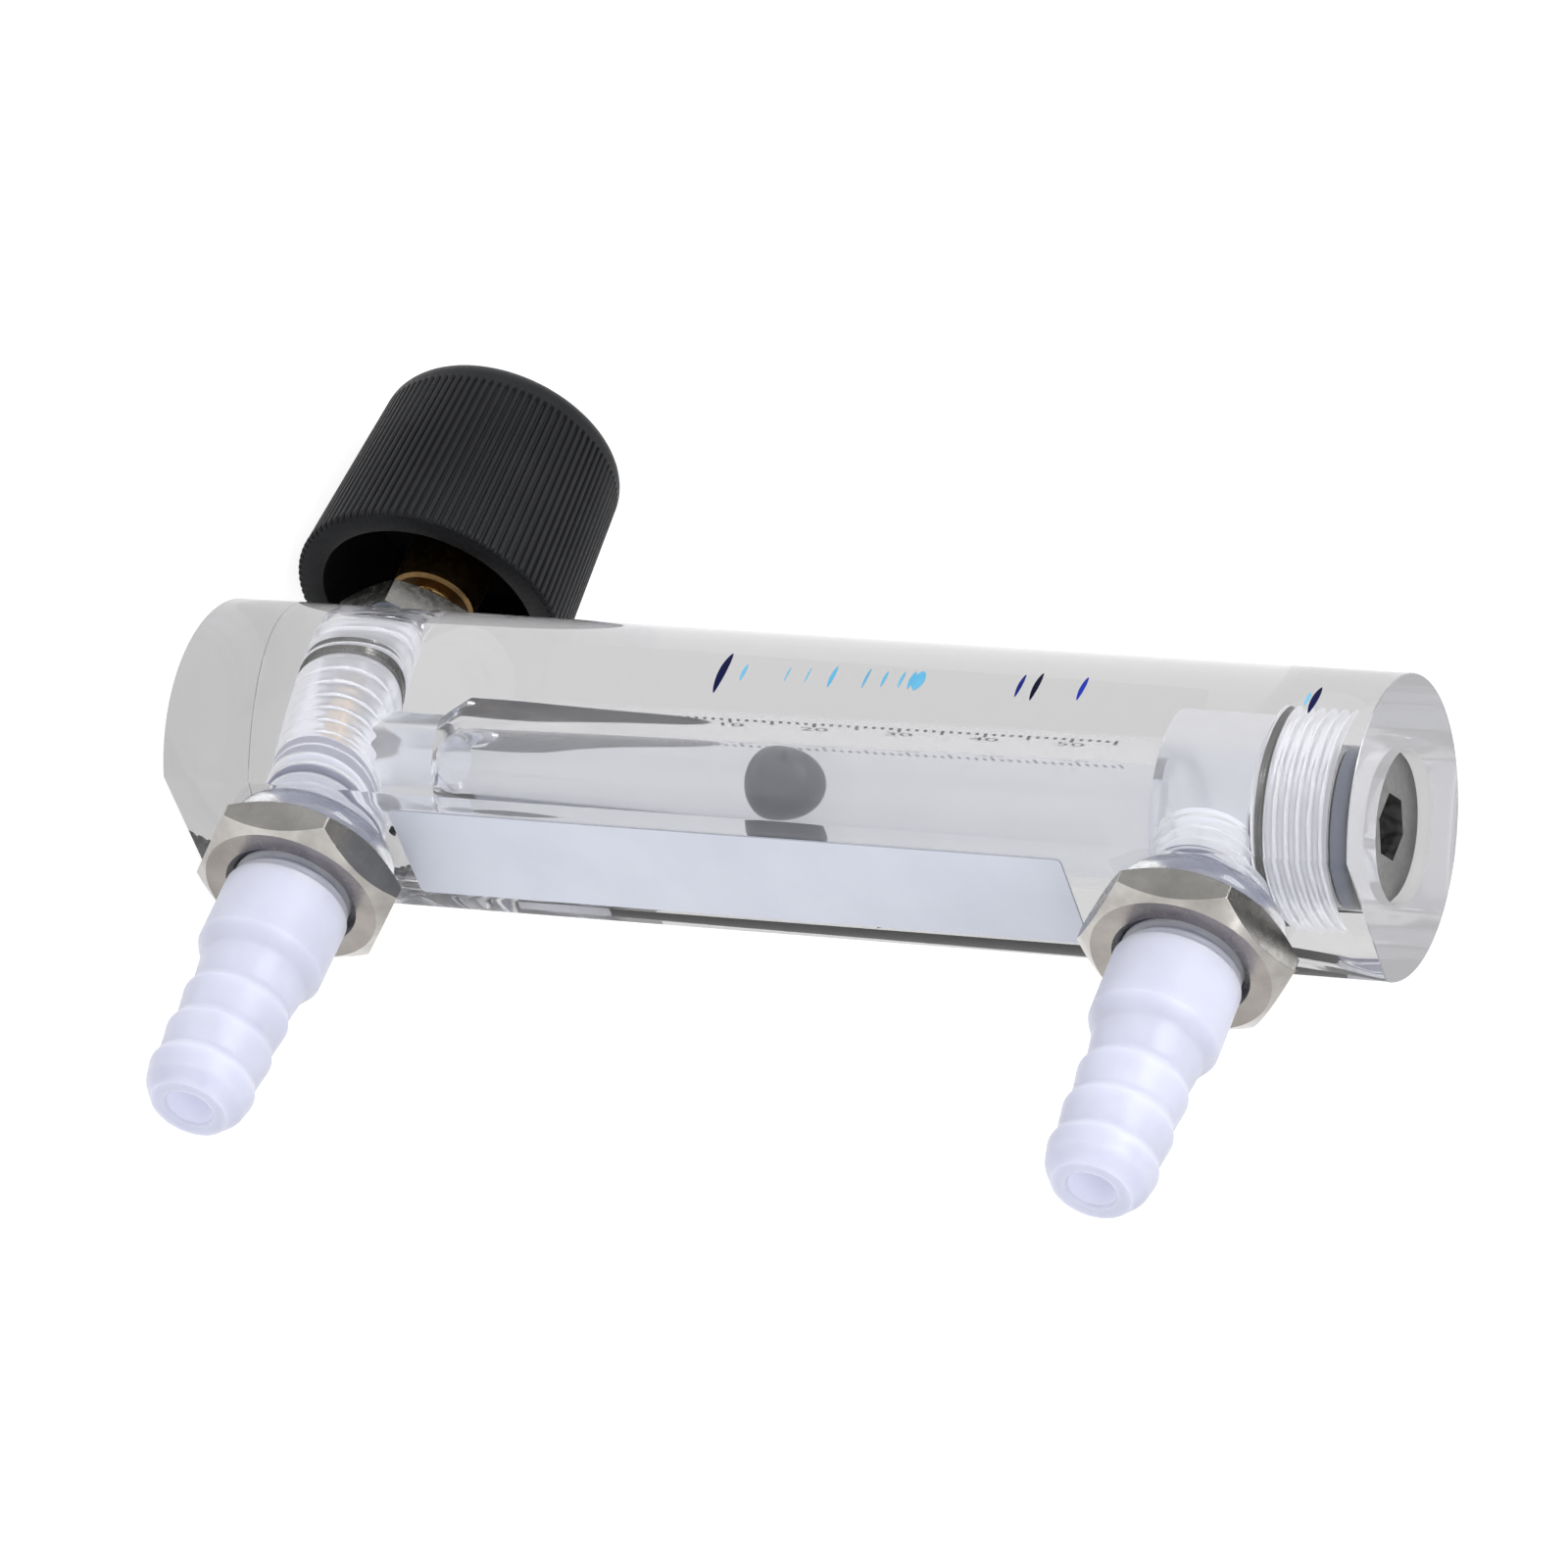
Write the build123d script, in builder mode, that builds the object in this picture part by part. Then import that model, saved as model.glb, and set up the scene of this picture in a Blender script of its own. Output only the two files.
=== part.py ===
from build123d import *
from math import cos, radians, sin, tan
import os

os.makedirs("parts", exist_ok=True)

# Panel gas flow meter with a float in a clear body and a needle valve at the gas inlet.
# Millimetres. +Z runs up the body axis from the bottom end. The front with the knob
# faces -Y, and the flat rear with the two hose fittings faces +Y.

# Clear body
body_d = 25.0
body_len = 106.4
flat_y = 10.3
body_edge = 0.3
port_low_z = 12.1
port_high_inset = 14.1
port_high_z = body_len - port_high_inset

# Metering bore and outlet chamber
passage_d = 4.7
passage_top_z = 22.0
float_seat_len = 2.4
bore_low_d = 6.9
bore_high_d = 7.6
bore_top_inset = 18.9
bore_top_z = body_len - bore_top_inset
chamber_d = 10.8

# Float and its upper stop
float_d = 6.6
float_z = 52.9
stop_t = 0.8
stop_bar_w = 1.6
stop_clear = 0.05

# Hose fittings
thread_d = 10.3
thread_end_y = 17.4
shank_d = 10.9
shank_end_y = 23.6
step_len = 1.5
barb_count = 3
barb_pitch = 3.85
barb_root_d = 8.5
barb_crest_d = 9.3
barb_rise = 0.9
tip_y = 39.8
tip_face_d = 6.7
fitting_bore_d = 4.0
thread_clear = 0.05
inlet_inner_y = 5.1
outlet_inner_y = 6.9
outlet_port_y = 4.0

# Lock nuts on the fittings
nut_af = 16.0
nut_t = 3.7
nut_chamfer_angle = 38.0
nut_chamfer_inset = 0.4
nut_bore_chamfer = 0.6
nut_turns = {"inlet": 4.2, "outlet": 5.9}

# Soft sealing washers between the flat rear and the lock nuts
port_seal_d = 14.6
port_seal_t = 2.3
port_seal_round = 0.5
port_hole_edge = 0.4

# Plug in the top end
plug_d = 11.8
plug_head_d = 12.6
plug_recess = 1.1
plug_len = 9.3
plug_hex_af = 5.0
plug_hex_depth = 3.6
plug_edge = 0.3
plug_head_t = 0.5
plug_seal_d = 1.7
plug_seal_seat = 1.8

# Needle valve
valve_hole_d = 10.1
valve_clear = 0.05
spot_face_d = 14.8
spot_face_y = -11.2
bonnet_hex_af = 12.2
bonnet_hex_top_y = -14.1
bonnet_hex_turn = 2.6
bonnet_collar_d = 8.4
bonnet_collar_top_y = -15.5
bonnet_thread_end_y = -3.4
bonnet_nose_d = 8.4
bonnet_nose_y = -2.6
bonnet_seal_d = 1.06
bonnet_groove_d = 12.6
bonnet_groove_depth = 1.1
seal_bore_d = 5.8
seal_bore_end_y = -12.0
stem_d = 4.6
stem_clear = 0.05
piston_outer_y = -9.4
piston_inner_y = -6.8
stem_groove_d = 3.4
stem_groove_w = 1.4
needle_d = 3.8
needle_cone_len = 4.0
needle_tip_d = 1.0
needle_tip_y = 4.3
stem_top_y = -29.0
valve_seat_front_y = 2.8
valve_seat_back_y = 5.0
orifice_d = 2.6
orifice_mouth_d = 4.4
orifice_cone = 0.9

# Knob
knob_mouth_y = -16.7
knob_top_y = -36.7
knob_mouth_d = 24.0
knob_top_d = 21.6
knob_top_round = 2.1
knob_mouth_round = 0.4
knob_recess_d = 19.4
knob_recess_depth = 10.5
knob_rib_count = 96
knob_rib_depth = 0.32
knob_groove_w = 0.5
knob_rib_top_gap = 2.4
insert_d = 7.6
insert_end_y = -17.3
insert_top_y = -31.0
insert_clear = 0.03

# Backing label and printed scale
label_w = 10.1
label_t = 0.15
label_low_z = 20.45
label_high_inset = 25.2
label_high_z = body_len - label_high_inset
ink_t = 0.06
scale_low_z = 36.0
scale_high_inset = 26.4
scale_high_z = body_len - scale_high_inset
scale_steps = 55
scale_line_w = 0.25
scale_short = 1.6
scale_long = 3.0
scale_x = 1.2

# Values that follow from the sizes above
body_r = body_d / 2
float_seat_z = passage_top_z + float_seat_len
plug_face_z = body_len - plug_recess
plug_low_z = plug_face_z - plug_len
plug_shoulder_z = plug_face_z - plug_head_t - plug_seal_seat
nut_y = flat_y + port_seal_t
label_mid_z = (label_low_z + label_high_z) / 2


def port_plane(z):
    return Plane(origin=(0, 0, z), x_dir=(0, 1, 0), z_dir=(1, 0, 0))


def port_axis(z):
    return Axis((0, 0, z), (0, 1, 0))


def across(y, z):
    return Plane(origin=(0, y, z), x_dir=(1, 0, 0), z_dir=(0, 1, 0))


# Clear body: a round bar with one flat, bored for float, ports, valve and plug
with BuildPart() as acrylic_body:
    with BuildSketch():
        Circle(body_r)
        with Locations((0, flat_y + body_r / 2)):
            Rectangle(body_d, body_r, mode=Mode.SUBTRACT)
    extrude(amount=body_len)
    end_faces = acrylic_body.faces().filter_by(Axis.Z)
    chamfer(end_faces.edges(), length=body_edge)
    # Passage, float seat cone, tapered bore, outlet chamber and plug hole in one turned cut
    with BuildSketch(Plane.XZ):
        with BuildLine():
            Polyline(
                (0, port_low_z),
                (passage_d / 2, port_low_z),
                (passage_d / 2, passage_top_z),
                (bore_low_d / 2, float_seat_z),
                (bore_high_d / 2, bore_top_z),
                (chamber_d / 2, bore_top_z),
                (chamber_d / 2, plug_low_z),
                (plug_d / 2 + thread_clear, plug_low_z),
                (plug_d / 2 + thread_clear, plug_shoulder_z),
                (plug_head_d / 2 + thread_clear, plug_shoulder_z),
                (plug_head_d / 2 + thread_clear, body_len),
                (0, body_len),
                close=True,
            )
        make_face()
    revolve(axis=Axis.Z, mode=Mode.SUBTRACT)
    # Valve hole from the front with its spot face and seal groove
    with BuildSketch(port_plane(port_low_z)):
        with BuildLine():
            Polyline(
                (-body_d, 0),
                (-body_d, spot_face_d / 2),
                (spot_face_y, spot_face_d / 2),
                (spot_face_y, bonnet_groove_d / 2),
                (spot_face_y + bonnet_groove_depth, bonnet_groove_d / 2),
                (spot_face_y + bonnet_groove_depth, valve_hole_d / 2),
                (valve_seat_back_y, valve_hole_d / 2),
                (valve_seat_back_y, 0),
                close=True,
            )
        make_face()
    revolve(axis=port_axis(port_low_z), mode=Mode.SUBTRACT)
    # Ports from the flat rear, each with a small lead-in
    for port_z, port_end_y in ((port_low_z, valve_seat_back_y), (port_high_z, outlet_port_y)):
        with BuildSketch(port_plane(port_z)):
            with BuildLine():
                Polyline(
                    (port_end_y, 0),
                    (port_end_y, thread_d / 2 + thread_clear),
                    (flat_y - port_hole_edge, thread_d / 2 + thread_clear),
                    (flat_y, thread_d / 2 + thread_clear + port_hole_edge),
                    (flat_y, 0),
                    close=True,
                )
            make_face()
        revolve(axis=port_axis(port_z), mode=Mode.SUBTRACT)
acrylic_body.part.label = "acrylic_body"
export_step(acrylic_body.part, "parts/acrylic_body.step")

# White label on the flat rear
with BuildPart() as scale_backing:
    with BuildSketch(Plane(origin=(0, flat_y, label_mid_z), x_dir=(1, 0, 0), z_dir=(0, 1, 0))):
        Rectangle(label_w, label_high_z - label_low_z)
    extrude(amount=label_t)
scale_backing.part.label = "scale_backing"
export_step(scale_backing.part, "parts/scale_backing.step")

# Printed scale lines on the round front, every fifth one long
with BuildPart() as scale_marks:
    for step in range(scale_steps + 1):
        mark_z = scale_low_z + step * (scale_high_z - scale_low_z) / scale_steps
        mark_len = scale_long if step % 5 == 0 else scale_short
        with BuildSketch(across(-body_d, mark_z)):
            with Locations((scale_x + mark_len / 2, 0)):
                Rectangle(mark_len, scale_line_w)
        extrude(amount=body_d)
    with BuildSketch(Plane.XY) as ink_ring:
        Circle(body_r + ink_t)
        Circle(body_r, mode=Mode.SUBTRACT)
    extrude(amount=body_len, mode=Mode.INTERSECT)
scale_marks.part.label = "scale_marks"
export_step(scale_marks.part, "parts/scale_marks.step")

# Hose fittings: threaded shank, stepped soft barbs and a rounded tip
for name, port_z, inner_y in (
    ("inlet", port_low_z, inlet_inner_y),
    ("outlet", port_high_z, outlet_inner_y),
):
    with BuildPart() as fitting:
        with BuildSketch(port_plane(port_z)):
            with BuildLine():
                barb_start_y = shank_end_y + step_len
                outline = [(inner_y, fitting_bore_d / 2)]
                outline.append((inner_y, thread_d / 2 - 0.6))
                outline.append((inner_y + 0.6, thread_d / 2))
                outline.append((thread_end_y, thread_d / 2))
                outline.append((thread_end_y, shank_d / 2))
                outline.append((shank_end_y, shank_d / 2))
                outline.append((barb_start_y, barb_crest_d / 2))
                for barb in range(barb_count):
                    root_y = barb_start_y + (barb + 1) * barb_pitch - barb_rise
                    outline.append((root_y, barb_root_d / 2))
                    outline.append((root_y + barb_rise, barb_crest_d / 2))
                outline.append((tip_y - 1.4, barb_crest_d / 2 - 0.35))
                outline.append((tip_y, tip_face_d / 2))
                outline.append((tip_y, fitting_bore_d / 2))
                Polyline(*outline, close=True)
            make_face()
        revolve(axis=port_axis(port_z))
        soft = fitting.edges().filter_by(GeomType.CIRCLE)
        soft = [e for e in soft if e.radius > tip_face_d / 2 - 0.01 and e.center().Y > shank_end_y - 0.1]
        fillet(soft, radius=0.32)
    fitting.part.label = name + "_fitting"
    export_step(fitting.part, "parts/" + name + "_fitting.step")

# Lock nuts, chamfered on both sides
for name, port_z in (("inlet", port_low_z), ("outlet", port_high_z)):
    with BuildPart() as nut:
        with BuildSketch(across(nut_y, port_z)):
            RegularPolygon(nut_af / 2, 6, major_radius=False, rotation=30 + nut_turns[name])
        extrude(amount=nut_t)
        with BuildSketch(port_plane(port_z)):
            with BuildLine():
                cone = nut_af * 0.1 * tan(radians(nut_chamfer_angle))
                Polyline(
                    (nut_y, 0),
                    (nut_y, nut_af / 2 - nut_chamfer_inset),
                    (nut_y + cone, nut_af * 0.6 - nut_chamfer_inset),
                    (nut_y + nut_t - cone, nut_af * 0.6 - nut_chamfer_inset),
                    (nut_y + nut_t, nut_af / 2 - nut_chamfer_inset),
                    (nut_y + nut_t, 0),
                    close=True,
                )
            make_face()
        revolve(axis=port_axis(port_z), mode=Mode.INTERSECT)
        with BuildSketch(port_plane(port_z)):
            with BuildLine():
                nut_bore_r = thread_d / 2 + thread_clear
                Polyline(
                    (nut_y, 0),
                    (nut_y, nut_bore_r),
                    (nut_y + nut_t - nut_bore_chamfer, nut_bore_r),
                    (nut_y + nut_t, nut_bore_r + nut_bore_chamfer),
                    (nut_y + nut_t, 0),
                    close=True,
                )
            make_face()
        revolve(axis=port_axis(port_z), mode=Mode.SUBTRACT)
    nut.part.label = name + "_nut"
    export_step(nut.part, "parts/" + name + "_nut.step")

# Sealing washers between the clear body and the lock nuts, rounded where they bulge out
for name, port_z in (("inlet", port_low_z), ("outlet", port_high_z)):
    with BuildPart() as washer:
        with BuildSketch(across(flat_y, port_z)):
            Circle(port_seal_d / 2)
            Circle(thread_d / 2 + thread_clear, mode=Mode.SUBTRACT)
        extrude(amount=port_seal_t)
        rim = washer.edges().filter_by(GeomType.CIRCLE).filter_by(lambda e: e.radius > thread_d / 2 + 1)
        fillet(rim, radius=port_seal_round)
    washer.part.label = name + "_seal"
    export_step(washer.part, "parts/" + name + "_seal.step")

# Float
with BuildPart() as float_ball:
    with Locations((0, 0, float_z)):
        Sphere(float_d / 2)
float_ball.part.label = "float_ball"
export_step(float_ball.part, "parts/float_ball.step")

# Upper float stop: a thin disc with a bar across its opening
with BuildPart() as float_stop:
    with BuildSketch(Plane.XY.offset(bore_top_z)):
        Circle(chamber_d / 2 - stop_clear)
        Circle(bore_high_d / 2, mode=Mode.SUBTRACT)
        Rectangle(bore_high_d + 1.0, stop_bar_w)
    extrude(amount=stop_t)
float_stop.part.label = "float_stop"
export_step(float_stop.part, "parts/float_stop.step")

# Top plug: threaded shank, thin head over its seal ring, and a hexagon socket
with BuildPart() as top_plug:
    with BuildSketch(Plane.XZ):
        with BuildLine():
            Polyline(
                (0, plug_low_z),
                (plug_d / 2 - plug_edge, plug_low_z),
                (plug_d / 2, plug_low_z + plug_edge),
                (plug_d / 2, plug_shoulder_z),
                (plug_head_d / 2 - plug_seal_d, plug_shoulder_z),
                (plug_head_d / 2 - plug_seal_d, plug_face_z - plug_head_t),
                (plug_head_d / 2, plug_face_z - plug_head_t),
                (plug_head_d / 2, plug_face_z - plug_edge),
                (plug_head_d / 2 - plug_edge, plug_face_z),
                (0, plug_face_z),
                close=True,
            )
        make_face()
    revolve(axis=Axis.Z)
    with BuildSketch(Plane.XY.offset(plug_face_z)):
        RegularPolygon(plug_hex_af / 2, 6, major_radius=False)
    extrude(amount=-plug_hex_depth, mode=Mode.SUBTRACT)
top_plug.part.label = "top_plug"
export_step(top_plug.part, "parts/top_plug.step")

with BuildPart() as plug_seal:
    with BuildSketch(Plane.XZ):
        with Locations((plug_head_d / 2 - plug_seal_d / 2, plug_face_z - plug_head_t - plug_seal_seat / 2)):
            Circle(plug_seal_d / 2)
    revolve(axis=Axis.Z)
plug_seal.part.label = "plug_seal"
export_step(plug_seal.part, "parts/plug_seal.step")

# Valve bonnet: threaded into the front of the body, with a hexagon and a round collar
with BuildPart() as valve_bonnet:
    with BuildSketch(across(bonnet_hex_top_y, port_low_z)):
        RegularPolygon(bonnet_hex_af / 2, 6, major_radius=False, rotation=-bonnet_hex_turn)
    extrude(amount=spot_face_y - bonnet_hex_top_y)
    with BuildSketch(port_plane(port_low_z)):
        with BuildLine():
            hex_corner_r = bonnet_hex_af * 0.6
            Polyline(
                (spot_face_y, 0),
                (spot_face_y, hex_corner_r),
                (bonnet_hex_top_y + 0.55, hex_corner_r),
                (bonnet_hex_top_y, bonnet_hex_af / 2 - 0.1),
                (bonnet_hex_top_y, 0),
                close=True,
            )
        make_face()
    revolve(axis=port_axis(port_low_z), mode=Mode.INTERSECT)
    with BuildSketch(port_plane(port_low_z)):
        with BuildLine():
            Polyline(
                (bonnet_collar_top_y, 0),
                (bonnet_collar_top_y, bonnet_collar_d / 2 - 0.3),
                (bonnet_collar_top_y + 0.3, bonnet_collar_d / 2),
                (spot_face_y, bonnet_collar_d / 2),
                (spot_face_y, valve_hole_d / 2 - valve_clear),
                (bonnet_thread_end_y - 0.4, valve_hole_d / 2 - valve_clear),
                (bonnet_thread_end_y, bonnet_nose_d / 2),
                (bonnet_nose_y, bonnet_nose_d / 2),
                (bonnet_nose_y, 0),
                close=True,
            )
        make_face()
    revolve(axis=port_axis(port_low_z))
    with BuildSketch(port_plane(port_low_z)):
        with BuildLine():
            Polyline(
                (bonnet_collar_top_y, 0),
                (bonnet_collar_top_y, stem_d / 2 + stem_clear),
                (seal_bore_end_y, stem_d / 2 + stem_clear),
                (seal_bore_end_y, seal_bore_d / 2),
                (bonnet_nose_y, seal_bore_d / 2),
                (bonnet_nose_y, 0),
                close=True,
            )
        make_face()
    revolve(axis=port_axis(port_low_z), mode=Mode.SUBTRACT)
valve_bonnet.part.label = "valve_bonnet"
export_step(valve_bonnet.part, "parts/valve_bonnet.step")

with BuildPart() as bonnet_seal:
    with BuildSketch(port_plane(port_low_z)):
        with Locations((spot_face_y + bonnet_groove_depth / 2, (valve_hole_d + bonnet_groove_d) / 4)):
            Circle(bonnet_seal_d / 2)
    revolve(axis=port_axis(port_low_z))
bonnet_seal.part.label = "bonnet_seal"
export_step(bonnet_seal.part, "parts/bonnet_seal.step")

# Valve stem: screw part, sealed piston and long needle cone
piston_r = seal_bore_d / 2 - stem_clear
groove_mid_y = (piston_outer_y + piston_inner_y) / 2
cone_start_y = needle_tip_y - needle_cone_len
with BuildPart() as valve_stem:
    with BuildSketch(port_plane(port_low_z)):
        with BuildLine():
            Polyline(
                (stem_top_y, 0),
                (stem_top_y, stem_d / 2),
                (piston_outer_y, stem_d / 2),
                (piston_outer_y, piston_r),
                (groove_mid_y - stem_groove_w / 2, piston_r),
                (groove_mid_y - stem_groove_w / 2, stem_groove_d / 2),
                (groove_mid_y + stem_groove_w / 2, stem_groove_d / 2),
                (groove_mid_y + stem_groove_w / 2, piston_r),
                (piston_inner_y, piston_r),
                (piston_inner_y, needle_d / 2),
                (cone_start_y, needle_d / 2),
                (needle_tip_y, needle_tip_d / 2),
                (needle_tip_y, 0),
                close=True,
            )
        make_face()
    revolve(axis=port_axis(port_low_z))
valve_stem.part.label = "valve_stem"
export_step(valve_stem.part, "parts/valve_stem.step")

# Seal ring on the piston: it slides with the stem and is held clear of stem and bonnet
stem_seal_clear = 0.03
stem_seal_in_r = stem_groove_d / 2 + stem_seal_clear
stem_seal_out_r = seal_bore_d / 2 - stem_seal_clear
with BuildPart() as stem_seal:
    with BuildSketch(port_plane(port_low_z)):
        with Locations((groove_mid_y, (stem_seal_in_r + stem_seal_out_r) / 2)):
            Circle((stem_seal_out_r - stem_seal_in_r) / 2)
    revolve(axis=port_axis(port_low_z))
stem_seal.part.label = "stem_seal"
export_step(stem_seal.part, "parts/stem_seal.step")

# Valve seat: a threaded disc with a countersunk orifice
with BuildPart() as valve_seat:
    with BuildSketch(port_plane(port_low_z)):
        with BuildLine():
            Polyline(
                (valve_seat_front_y, orifice_mouth_d / 2),
                (valve_seat_front_y, valve_hole_d / 2 - valve_clear),
                (valve_seat_back_y, valve_hole_d / 2 - valve_clear),
                (valve_seat_back_y, orifice_d / 2),
                (valve_seat_front_y + orifice_cone, orifice_d / 2),
                close=True,
            )
        make_face()
    revolve(axis=port_axis(port_low_z))
valve_seat.part.label = "valve_seat"
export_step(valve_seat.part, "parts/valve_seat.step")

# Knob: tapered cup with fine straight ribs, a rounded top edge and an open recess
knob_slope = (knob_mouth_d - knob_top_d) / 2 / (knob_mouth_y - knob_top_y)
with BuildPart() as knob:
    with BuildSketch(port_plane(port_low_z)):
        with BuildLine():
            Polyline(
                (knob_mouth_y, knob_recess_d / 2),
                (knob_mouth_y, knob_mouth_d / 2),
                (knob_top_y, knob_top_d / 2),
                (knob_top_y, 0),
                (insert_top_y, 0),
                (insert_top_y, insert_d / 2 + insert_clear),
                (knob_mouth_y - knob_recess_depth, insert_d / 2 + insert_clear),
                (knob_mouth_y - knob_recess_depth, knob_recess_d / 2 - 0.5),
                close=True,
            )
        make_face()
    revolve(axis=port_axis(port_low_z))
    top_edge = knob.edges().filter_by(GeomType.CIRCLE).sort_by(Axis.Y)[0]
    fillet(top_edge, radius=knob_top_round)
    mouth_edge = knob.edges().filter_by(GeomType.CIRCLE).group_by(Axis.Y)[-1].sort_by(SortBy.RADIUS)[-1]
    fillet(mouth_edge, radius=knob_mouth_round)
    # Grooves between the ribs, cut along the tapered side from the mouth to below the top round
    groove_planes = []
    for rib in range(knob_rib_count):
        turn = radians(360 * rib / knob_rib_count)
        outward = Vector(cos(turn), 0, sin(turn))
        upward = (Vector(0, -1, 0) - outward * knob_slope).normalized()
        mouth_point = Vector(0, knob_mouth_y, port_low_z) + outward * (knob_mouth_d / 2)
        groove_planes.append(Plane(mouth_point - upward * 0.2, outward.cross(upward), upward))
    with BuildSketch(*groove_planes):
        with BuildLine():
            Polyline(
                (-knob_groove_w / 2, 0.1),
                (0, -knob_rib_depth),
                (knob_groove_w / 2, 0.1),
                close=True,
            )
        make_face()
    extrude(amount=knob_mouth_y - knob_top_y - knob_rib_top_gap, mode=Mode.SUBTRACT)
knob.part.label = "knob"
export_step(knob.part, "parts/knob.step")

# Metal insert in the knob that grips the stem
with BuildPart() as knob_insert:
    with BuildSketch(port_plane(port_low_z)):
        with BuildLine():
            Polyline(
                (insert_end_y, stem_d / 2 + insert_clear),
                (insert_end_y, insert_d / 2 - 0.3),
                (insert_end_y - 0.3, insert_d / 2),
                (insert_top_y + insert_clear, insert_d / 2),
                (insert_top_y + insert_clear, 0),
                (stem_top_y - insert_clear, 0),
                (stem_top_y - insert_clear, stem_d / 2 + insert_clear),
                close=True,
            )
        make_face()
    revolve(axis=port_axis(port_low_z))
knob_insert.part.label = "knob_insert"
export_step(knob_insert.part, "parts/knob_insert.step")
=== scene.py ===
import math

import bmesh
import bpy
import numpy as np
from mathutils import Matrix, Vector


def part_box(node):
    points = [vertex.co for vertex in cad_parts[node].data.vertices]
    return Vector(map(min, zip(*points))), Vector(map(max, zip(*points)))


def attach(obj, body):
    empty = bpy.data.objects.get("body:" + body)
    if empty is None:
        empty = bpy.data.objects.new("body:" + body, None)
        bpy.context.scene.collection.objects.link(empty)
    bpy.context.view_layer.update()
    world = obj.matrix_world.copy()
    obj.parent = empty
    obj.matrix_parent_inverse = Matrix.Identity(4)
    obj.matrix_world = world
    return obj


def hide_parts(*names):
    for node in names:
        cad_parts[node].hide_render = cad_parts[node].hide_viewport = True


# Looks of a small panel gas flow meter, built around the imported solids.
# Lengths are millimetres until make_object turns them into metres.
# +Z runs up the body axis, the knob is at -Y, and the hose fittings point along +Y.

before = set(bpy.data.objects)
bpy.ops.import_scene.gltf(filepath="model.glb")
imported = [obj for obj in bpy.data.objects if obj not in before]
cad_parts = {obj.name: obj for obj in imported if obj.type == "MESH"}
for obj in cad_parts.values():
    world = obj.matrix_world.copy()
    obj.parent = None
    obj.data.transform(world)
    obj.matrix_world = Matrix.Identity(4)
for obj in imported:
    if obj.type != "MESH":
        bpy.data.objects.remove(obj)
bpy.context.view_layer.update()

MM = 0.001
TAU = 2 * math.pi


def box_mm(node):
    """Lowest and highest corner of a CAD node, in millimetres."""
    low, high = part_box(node)
    return [c / MM for c in low], [c / MM for c in high]


# Sizes read from the solids
BODY_HIGH = box_mm("acrylic_body")[1]
BODY_R = BODY_HIGH[0]
BODY_LEN = BODY_HIGH[2]
FLAT_Y = BODY_HIGH[1]
NUT_LOW, NUT_HIGH = box_mm("inlet_nut")
PORT_LOW_Z = sum(c[2] for c in box_mm("inlet_fitting")) / 2
PORT_HIGH_Z = sum(c[2] for c in box_mm("outlet_fitting")) / 2
TIP_Y = box_mm("inlet_fitting")[1][1]
INNER_Y = {"inlet": box_mm("inlet_fitting")[0][1], "outlet": box_mm("outlet_fitting")[0][1]}
PORT_Z = {"inlet": PORT_LOW_Z, "outlet": PORT_HIGH_Z}
WASHER_R = box_mm("inlet_seal")[1][0]
BALL_LOW, BALL_HIGH = box_mm("float_ball")
STOP_LOW, STOP_HIGH = box_mm("float_stop")
PLUG_LOW, PLUG_HIGH = box_mm("top_plug")
PLUG_HEAD_R = PLUG_HIGH[0]
PLUG_SEAL_LOW_Z = box_mm("plug_seal")[0][2]
PLUG_SEAL_HIGH_Z = box_mm("plug_seal")[1][2]
KNOB_LOW, KNOB_HIGH = box_mm("knob")
INSERT_LOW, INSERT_HIGH = box_mm("knob_insert")
BONNET_LOW, BONNET_HIGH = box_mm("valve_bonnet")
SEAT_LOW, SEAT_HIGH = box_mm("valve_seat")
STEM_LOW, STEM_HIGH = box_mm("valve_stem")
LABEL_LOW, LABEL_HIGH = box_mm("scale_backing")

# Small gaps and overlaps: between touching pieces, and of a cutting tool past the surface it cuts
CLEAR = 0.05
SEAM = 0.01
OVER_CUT = 0.001
RUN_PAST = 0.1
TOOL_RUN_OUT = 0.2
GLUE = 0.002

# Sizes that the solids' boxes don't give
EDGE = 0.08
PASSAGE_R = 2.35
PASSAGE_TOP_Z = 22.0
PASSAGE_LIP = 0.01
FLOAT_SEAT_Z = 24.4
BORE_LOW_R = 3.45
BORE_HIGH_R = 3.8
CHAMBER_R = 5.4
THREAD_R = 5.15
THREAD_END_Y = 17.4
SHANK_R = 5.45
SHANK_END_Y = 23.6
BARB_START_Y = 25.1
BARB_PITCH = 3.85
BARB_RISE = 0.9
BARB_ROOT_R = 4.25
BARB_CREST_R = 4.65
TIP_FACE_R = 3.35
FITTING_BORE_R = 2.0
PLUG_R = 5.9
PLUG_SEAL_W = 1.7
HOLE_EDGE = 0.4
SPOT_R = 7.4
SPOT_Y = -11.2
BONNET_THREAD_R = 5.0
BONNET_THREAD_END_Y = -3.4
BONNET_NOSE_R = 4.2
COLLAR_R = 4.2
HEX_TOP_Y = -14.1
BONNET_AF = 12.2
BONNET_TURN = 90.0 - 2.6
BONNET_BORE_R = 2.35
CYLINDER_R = 2.9
CYLINDER_START_Y = -12.0
FRONT_CLEAR_Y = -20.0
VALVE_HOLE_R = 5.05
VALVE_HOLE_END_Y = 5.0
SEAL_GROOVE_R = 6.3
SEAL_GROOVE_LEN = 1.1
PORT_OVERLAP = 0.3
OUTLET_PORT_Y = 4.0
NUT_AF = 16.0
NUT_TURN = {"inlet": 4.2, "outlet": 5.9}
NUT_CHAMFER_DEG = 38.0
NUT_CHAMFER_INSET = 0.4
PITCH = 1.0
THREAD_DEPTH = 0.5
HOLE_THREAD_DEPTH = 0.45
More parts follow.
